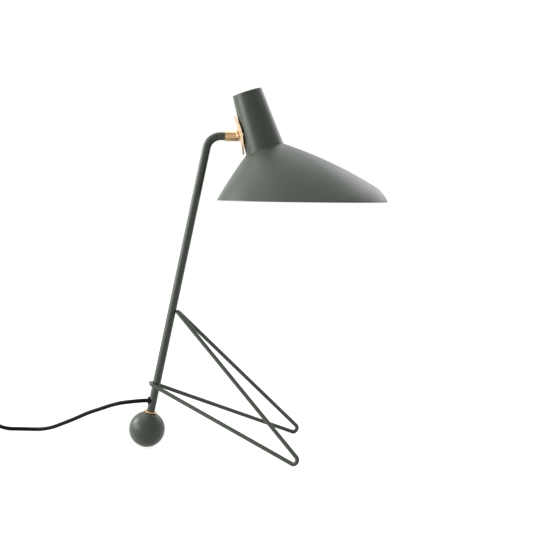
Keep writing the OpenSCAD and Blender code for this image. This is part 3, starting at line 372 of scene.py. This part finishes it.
def collar_profile():
    """Radius and height of the points round the collar: up its inside, over its folded top, down
    its outside, and through the groove that the neck stands in to where the skin starts."""
    slope = math.tan(NECK_LEAN)
    wall, lean = NECK_R - COLLAR_GAP, COLLAR_H * slope
    start = np.interp(SKIN_START, along, skin_z)
    return np.array([(wall - SHEET, 0.0), (wall - SHEET - lean, COLLAR_H - COLLAR_FOLD),
                     (wall - SHEET / 2 - lean, COLLAR_H),
                     (wall - lean, COLLAR_H - COLLAR_FOLD), (wall, 0.0),
                     (NECK_R + GROOVE_GAP, 0.0),
                     (NECK_R - start * slope + GROOVE_GAP, start)])


def add_shade():
    """Each row of the grid is a meridian: down the outer skin, round the rim's edge, up the
    inner skin and round the collar. The inner skin is the outer one less a sheet's thickness
    times cosine and sine of its angle."""
    turn = np.linspace(0, 2 * math.pi, MERIDIANS, endpoint=False)
    inner_r = skin_r - SHEET * np.cos(skin_angle)
    inner_z = skin_z - SHEET * np.sin(skin_angle)
    out_end = rim_length(skin_r, skin_z, turn)[:, None]
    in_end = rim_length(inner_r, inner_z, turn)[:, None]
    root = np.linspace(SKIN_START, root_len, ROOT_ROWS)[None, :] + 0 * turn[:, None]
    u = np.linspace(0, 1, OUTER_ROWS)[None, 1:]
    outer = skin(skin_r, skin_z, np.hstack(
        [root, root_len + u * (out_end - EDGE - root_len)]), turn)
    rim = (skin(skin_r, skin_z, out_end, turn) * (1 - EDGE_PARTS)
           + skin(inner_r, inner_z, in_end, turn) * EDGE_PARTS)
    v = np.linspace(1, 0, INNER_ROWS)[None, :]
    inner = skin(inner_r, inner_z, root_len + v * (in_end - EDGE - root_len), turn)
    collar = from_neck(*collar_profile().T[:, None], turn[:, None])
    rows = np.concatenate([outer, rim, inner, collar], 1)
    verts, faces = rows.reshape(-1, 3), grid_faces(len(turn), rows.shape[1], True, True)
    if enclosed(verts, faces) < 0:
        faces = faces[:, ::-1]
    print("sheet metal:", round(enclosed(verts, faces)), "cubic mm")
    return finish_piece(link_mesh("spun_shade", verts * MM, faces), "head", "paint",
                        "shade_shell")


shade = add_shade()

# %% [markdown]
# The picture is a product shot on white: one strong soft box to the left, a low one beside it
# that draws light lines on the rod, weaker ones behind the lamp to the right and above, and a
# white sweep all round the back. Nothing bright stands near the camera. That is why every round
# part has a dark band in the middle, a clear light line on its left and a pale edge on its
# right. All shaders are built from nodes, with small helpers: one adds a node and links or sets
# its inputs, one combines two numbers, one starts a material, and one tells which rays see the
# white background.

# %% Shader helpers
def add(tree, kind, inputs=None, **settings):
    """One shader node. Settings are its own options, inputs are numbers or sockets to link."""
    node = tree.nodes.new("ShaderNode" + kind)
    for key, value in settings.items():
        setattr(node, key, value)
    for key, value in (inputs or {}).items():
        if isinstance(value, bpy.types.NodeSocket):
            tree.links.new(value, node.inputs[key])
        else:
            node.inputs[key].default_value = value
    return node


def combine(tree, operation, a, b):
    """Result of one operation on two numbers or sockets."""
    return add(tree, "Math", {0: a, 1: b}, operation=operation).outputs[0]


def new_material(name):
    """Empty node material and its tree."""
    material = bpy.data.materials.new(name)
    material.use_nodes = True
    material.node_tree.nodes.clear()
    return material, material.node_tree


def sees_white(tree):
    """1 for a ray from the camera, off metal or through glass, which sees the white background,
    and 0 for light on its way to a surface."""
    path = add(tree, "LightPath").outputs
    seen = combine(tree, "MAXIMUM", path["Is Camera Ray"], path["Is Glossy Ray"])
    return combine(tree, "MAXIMUM", seen, path["Is Transmission Ray"])


# %% [markdown]
# The table is light grey paper. White paper would throw its light up under the ball and lighten
# the dark middles. It still has to look white, so whatever looks at it, straight or in a mirror,
# gets a glow on top of the light that falls on it. The shadow stays, because it is in the lit
# part.

# %% Floor
PAPER, FLOOR_GLOW = 0.3, 0.88
FLOOR_SIDE, FLOOR_NEAR, FLOOR_FAR = 9.0, -2.5, 14.0


def floor_material():
    """Diffuse paper plus an emission of the glow's strength for the rays that see white."""
    material, tree = new_material("table_white")
    paper = add(tree, "BsdfDiffuse", {"Color": (PAPER, PAPER, PAPER, 1)})
    glow = add(tree, "Emission",
               {"Strength": combine(tree, "MULTIPLY", sees_white(tree), FLOOR_GLOW)})
    both = add(tree, "AddShader", {0: paper.outputs[0], 1: glow.outputs[0]})
    add(tree, "OutputMaterial", {"Surface": both.outputs[0]})
    return material


def add_floor():
    """One flat quad, wide enough that its far edge lies on the horizon of the picture."""
    verts = np.array([(-FLOOR_SIDE, FLOOR_NEAR, 0), (FLOOR_SIDE, FLOOR_NEAR, 0),
                      (FLOOR_SIDE, FLOOR_FAR, 0), (-FLOOR_SIDE, FLOOR_FAR, 0)], float)
    floor = link_mesh("table_top", verts, [(0, 1, 2, 3)])
    floor.data.materials.append(floor_material())
    print("floor:", 2 * FLOOR_SIDE, "by", FLOOR_FAR - FLOOR_NEAR, "m")


add_floor()

# %% [markdown]
# The world is the white sweep. It could be one plain white all round, but then the light from
# the viewer's side would fill the dark bands. So it sheds light from the sides to the back and
# none from the viewer's side, while everything that looks at it, in a mirror or straight, sees
# white.

# %% World
DARK_TO, FULL_FROM = -0.5, 0.0


def build_world():
    """For light on the object, strength by the Y of its direction, which is -1 towards the
    viewer: 0 up to DARK_TO, easing up to 1 at FULL_FROM, straight to the side, and 1 all round
    the back. The camera, metal and glass see white everywhere."""
    world = bpy.data.worlds.new("light_tent")
    bpy.context.scene.world = world
    world.use_nodes = True
    tree = world.node_tree
    tree.nodes.clear()
    where = add(tree, "TexCoord")
    depth = add(tree, "SeparateXYZ", {0: where.outputs["Generated"]}).outputs["Y"]
    tent = add(tree, "MapRange", {"Value": depth, "From Min": DARK_TO, "From Max": FULL_FROM,
                                  "To Min": 0.0, "To Max": 1.0},
               interpolation_type="SMOOTHSTEP").outputs[0]
    strength = combine(tree, "MAXIMUM", tent, sees_white(tree))
    sky = add(tree, "Background", {"Color": (1, 1, 1, 1), "Strength": strength})
    add(tree, "OutputWorld", {"Surface": sky.outputs[0]})
    print("world:", world.name, len(tree.nodes), "nodes")


build_world()

# %% [markdown]
# A soft box is an area lamp. A small bright one draws a narrow line of light on a round part,
# and a large weak one a broad pale edge. Each is placed by the direction it shines from, and its
# strength is given as a brightness, so a box can change its size without growing brighter.

# %% Lamps
LAMP_TARGET = Vector((0.0, 0.0, 0.25))


def softbox(name, azimuth, elevation, width, height, level, distance=1.7):
    """Flat panel of light that looks at the object's middle. Azimuth is counted to the right
    from the viewer, and level is its brightness beside white paper's in plain light: power is
    pi times area times level."""
    a, e = math.radians(azimuth), math.radians(elevation)
    away = Vector((math.sin(a) * math.cos(e), -math.cos(a) * math.cos(e), math.sin(e)))
    data = bpy.data.lights.new(name, "AREA")
    data.shape = "RECTANGLE"
    data.size, data.size_y = width, height
    data.energy = math.pi * width * height * level
    lamp = bpy.data.objects.new(name, data)
    bpy.context.scene.collection.objects.link(lamp)
    lamp.location = LAMP_TARGET + away * distance
    lamp.rotation_euler = (-away).to_track_quat("-Z", "Y").to_euler()
    lamp.visible_camera = False
    print(name, round(data.energy, 1), "watts")


softbox("left_box", azimuth=260, elevation=23, width=0.5, height=0.65, level=18.0)
softbox("low_box", azimuth=290, elevation=3, width=0.7, height=0.3, level=8.0, distance=1.2)
softbox("right_box", azimuth=140, elevation=30, width=1.3, height=1.1, level=1.3)
softbox("top_box", azimuth=203, elevation=55, width=1.5, height=1.2, level=1.5)
bpy.context.scene.view_settings.view_transform = "Standard"

# %% [markdown]
# Finishes are built from a few shared effects, each a node group that gives out numbers: how
# rough a spot is, how high its grain stands, how much its colour strays. The shader and its
# constant values stay in the material. All patterns are in metres on Object coordinates, so a
# grain of half a millimetre is the same size on a tube as on the shade.

# %% Helpers for effects
def new_group(name, inputs, outputs):
    """Node group with number inputs and outputs; returns its tree, its inputs by name and a
    function that links the outputs."""
    tree = bpy.data.node_groups.new(name, "ShaderNodeTree")
    for key, value in inputs.items():
        tree.interface.new_socket(key, in_out="INPUT",
                                  socket_type="NodeSocketFloat").default_value = value
    for key in outputs:
        tree.interface.new_socket(key, in_out="OUTPUT", socket_type="NodeSocketFloat")
    entry, leave = tree.nodes.new("NodeGroupInput"), tree.nodes.new("NodeGroupOutput")

    def give(**sockets):
        for key, socket in sockets.items():
            tree.links.new(socket, leave.inputs[key])
    return tree, entry.outputs, give


def noise(tree, scale, detail, vector=None, rough=0.5):
    """Noise of that many changes per metre, on Object coordinates unless told otherwise."""
    vector = vector or add(tree, "TexCoord").outputs["Object"]
    return add(tree, "TexNoise", {"Vector": vector, "Scale": scale, "Detail": detail,
                                  "Roughness": rough}).outputs["Fac"]


def mapped(tree, value, low, high, start=0.3, end=0.7):
    """Low up to start, high from end on, and even in between; most noise lies in that range."""
    return add(tree, "MapRange", {"Value": value, "From Min": start, "From Max": end,
                                  "To Min": low, "To Max": high}).outputs[0]


def spread_of(tree, given):
    """Roughness less its spread, and roughness plus it."""
    return [combine(tree, way, given["Roughness"], given["Spread"])
            for way in ("SUBTRACT", "ADD")]


# %% Shared effects
def even_spray():
    """Sprayed and baked coat: a fine orange peel in its height, slow clouds in its gloss and a
    trace of them in its tone."""
    tree, given, give = new_group("even_spray", {"Peel": 900.0, "Roughness": 0.45,
                                                 "Spread": 0.03}, ("Tone", "Roughness", "Height"))
    clouds = noise(tree, scale=16.0, detail=3.0)
    give(Tone=mapped(tree, clouds, low=0.96, high=1.04),
         Roughness=mapped(tree, clouds, *spread_of(tree, given)),
         Height=noise(tree, given["Peel"], detail=1.0))
    return tree


def tool_lines():
    """Marks of a tool or a belt: noise stretched along two axes, so that it changes fast only
    along the third. X, Y and Z are its changes per metre, and the darkening input is how much
    darker the lines are: a little for tool marks, far more where they paint in reflected dark
    bands."""
    tree, given, give = new_group("tool_lines", {"X": 100.0, "Y": 100.0, "Z": 100.0,
                                                 "Roughness": 0.35, "Spread": 0.06,
                                                 "Stain": 0.08},
                                  ("Tone", "Roughness", "Height"))
    place = add(tree, "TexCoord").outputs["Object"]
    scale = add(tree, "CombineXYZ", {0: given["X"], 1: given["Y"], 2: given["Z"]})
    stretched = add(tree, "VectorMath", {0: place, 1: scale.outputs[0]}, operation="MULTIPLY")
    lines = noise(tree, scale=1.0, detail=4.0, vector=stretched.outputs[0], rough=0.6)
    patches = noise(tree, scale=60.0, detail=3.0)
    mean = combine(tree, "MULTIPLY", combine(tree, "ADD", lines, patches), 0.5)
    darkest = combine(tree, "SUBTRACT", 1.0, given["Stain"])
    give(Tone=mapped(tree, lines, low=darkest, high=1.0, start=0.4, end=0.6),
         Roughness=mapped(tree, mean, *spread_of(tree, given), start=0.35, end=0.65),
         Height=lines)
    return tree


def moulded_grain():
    """Spark-eroded mould surface: small rounded cells in the height, and slow patches of more
    and less gloss."""
    tree, given, give = new_group("moulded_grain", {"Cells": 1800.0, "Roughness": 0.5},
                                  ("Roughness", "Height"))
    place = add(tree, "TexCoord").outputs["Object"]
    cells = add(tree, "TexVoronoi", {"Vector": place, "Scale": given["Cells"]},
                feature="SMOOTH_F1").outputs["Distance"]
    worn = mapped(tree, noise(tree, scale=90.0, detail=3.0), low=-0.07, high=0.05)
    give(Roughness=combine(tree, "ADD", given["Roughness"], worn), Height=cells)
    return tree


effects = {tree.name: tree for tree in (even_spray(), tool_lines(), moulded_grain())}
print("effects:", sorted(effects))

# %% [markdown]
# A finish is one effect with its own values, a colour and one Principled shader. Every finish
# could have its own tree of nodes, but one function that builds them all keeps them alike. The
# grain is far too fine to be modelled, so its height only bends the light, through a Bump node.

# %% A finish
GRAIN_DEPTH = 0.0002


def finish_of(name, color, effect, values, bump, **constants):
    """Material of one effect group and one Principled shader. The group's Tone scales the
    colour, its Roughness and Height go straight in, and everything that is the same all over is
    set on the shader."""
    material, tree = new_material(name)
    grain = tree.nodes.new("ShaderNodeGroup")
    grain.node_tree = effects[effect]
    for key, value in values.items():
        grain.inputs[key].default_value = value
    relief = add(tree, "Bump", {"Height": grain.outputs["Height"], "Strength": bump,
                                "Distance": GRAIN_DEPTH})
    shader = add(tree, "BsdfPrincipled", {"Roughness": grain.outputs["Roughness"],
                                          "Normal": relief.outputs[0],
                                          "Base Color": (*color, 1)})
    if "Tone" in grain.outputs:
        tinted = add(tree, "VectorMath", {0: color, "Scale": grain.outputs["Tone"]},
                     operation="SCALE")
        tree.links.new(tinted.outputs[0], shader.inputs["Base Color"])
    for key, value in constants.items():
        shader.inputs[key.replace("_", " ")].default_value = value
    add(tree, "OutputMaterial", {"Surface": shader.outputs[0]})
    return material


# %% [markdown]
# The paint is a satin grey-green powder coat, the same on ball, tube, rod, neck and shade. The
# brass is drawn on the sleeve, with dark lines along its length, and brushed on the plate, and
# it is lacquered, so it is bright but not a mirror. It is one metal in two tones: on the sleeve
# darker and more orange, with far darker lines, as painted reflection of the dark bands on its
# round side, and on the plate paler, as a painted highlight. The cord and its fittings are plain
# black plastic, which swallows light, so its mirror part is kept low.

# %% Finishes
# The plate's brass is paler than the sleeve's: a painted highlight for the white that its face
# reflects.
PAINT, BRASS, PLATE_HIGHLIGHT_BRASS = (0.088, 0.1085, 0.083), (0.84, 0.53, 0.27), (0.88, 0.66, 0.43)
brushed_brass_painted_highlight = finish_of(
    "brushed_brass_painted_highlight", PLATE_HIGHLIGHT_BRASS, "tool_lines",
    {"X": 60.0, "Y": 4000.0, "Z": 60.0, "Roughness": 0.38},
    bump=0.12, Metallic=1.0, Coat_Weight=1.0, Coat_Roughness=0.15)
finish = {
    "paint": finish_of("satin_paint", PAINT, "even_spray", {"Roughness": 0.36},
                       bump=0.05, Specular_IOR_Level=0.38),
    # Darker, more orange brass with far darker lines: painted reflection of the dark bands on the
    # sleeve's round side, over its draw marks.
    "brass": finish_of("drawn_brass_painted_bands", BRASS, "tool_lines",
                       {"X": 8.0, "Y": 500.0, "Z": 500.0, "Roughness": 0.38, "Stain": 0.7},
                       bump=0.12, Metallic=1.0, Coat_Weight=0.5, Coat_Roughness=0.15),
    "steel": finish_of("plated_steel", (0.6, 0.61, 0.63), "tool_lines", {"Roughness": 0.28},
                       bump=0.1, Metallic=1.0),
    "pin_brass": finish_of("nickel", (0.72, 0.70, 0.66), "tool_lines", {"Roughness": 0.22},
                           bump=0.05, Metallic=1.0),
    "cap_metal": finish_of("cap_metal", (0.78, 0.78, 0.79), "tool_lines",
                           {"Z": 900.0, "Roughness": 0.25}, bump=0.05, Metallic=1.0),
    "rubber": finish_of("black_rubber", (0.006, 0.006, 0.006), "moulded_grain",
                        {"Roughness": 0.6}, bump=0.2, Specular_IOR_Level=0.12),
    "cord": finish_of("cord_jacket", (0.004, 0.004, 0.0042), "moulded_grain",
                      {"Cells": 1200.0, "Roughness": 0.45}, bump=0.1,
                      Specular_IOR_Level=0.08),
    "black_plastic": finish_of("black_plastic", (0.012, 0.012, 0.013), "moulded_grain",
                               {"Roughness": 0.45}, bump=0.35),
    "holder": finish_of("holder_black", (0.018, 0.017, 0.016), "moulded_grain",
                        {"Cells": 600.0, "Roughness": 0.25}, bump=0.05),
    "porcelain": finish_of("porcelain", (0.80, 0.78, 0.73), "even_spray",
                           {"Peel": 1500.0, "Roughness": 0.55}, bump=0.15),
    "nylon": finish_of("nylon", (0.80, 0.79, 0.74), "even_spray", {"Roughness": 0.4},
                       bump=0.05, Subsurface_Weight=0.2),
    "opal_glass": finish_of("opal_glass", (0.88, 0.88, 0.85), "even_spray",
                            {"Peel": 60.0, "Roughness": 0.18, "Spread": 0.02}, bump=0.02,
                            Coat_Weight=0.3),
}
print("finishes:", len(finish) + 1)

# %% [markdown]
# Every solid takes the finish that the imported record names for it. The plate is brass like the
# sleeve, but its lines run another way and are finer, and its colour is paler as a painted
# highlight, so it gets its own.

# %% Finishes on the pieces
slot_of = {part["node"]: part["material_slot"] for part in frame["record"]["subparts"]}
for name, piece in nodes.items():
    piece.data.materials.clear()
    piece.data.materials.append(brushed_brass_painted_highlight if name == "saddle_plate"
                                else finish[slot_of[name]])
made_here = {"cord": (flex,), "paint": (rod, shade)}
for slot, pieces in made_here.items():
    for piece in pieces:
        piece.data.materials.append(finish[slot])
print("finishes given to", len(nodes), "solids and to", sum(map(len, made_here.values())),
      "new pieces")
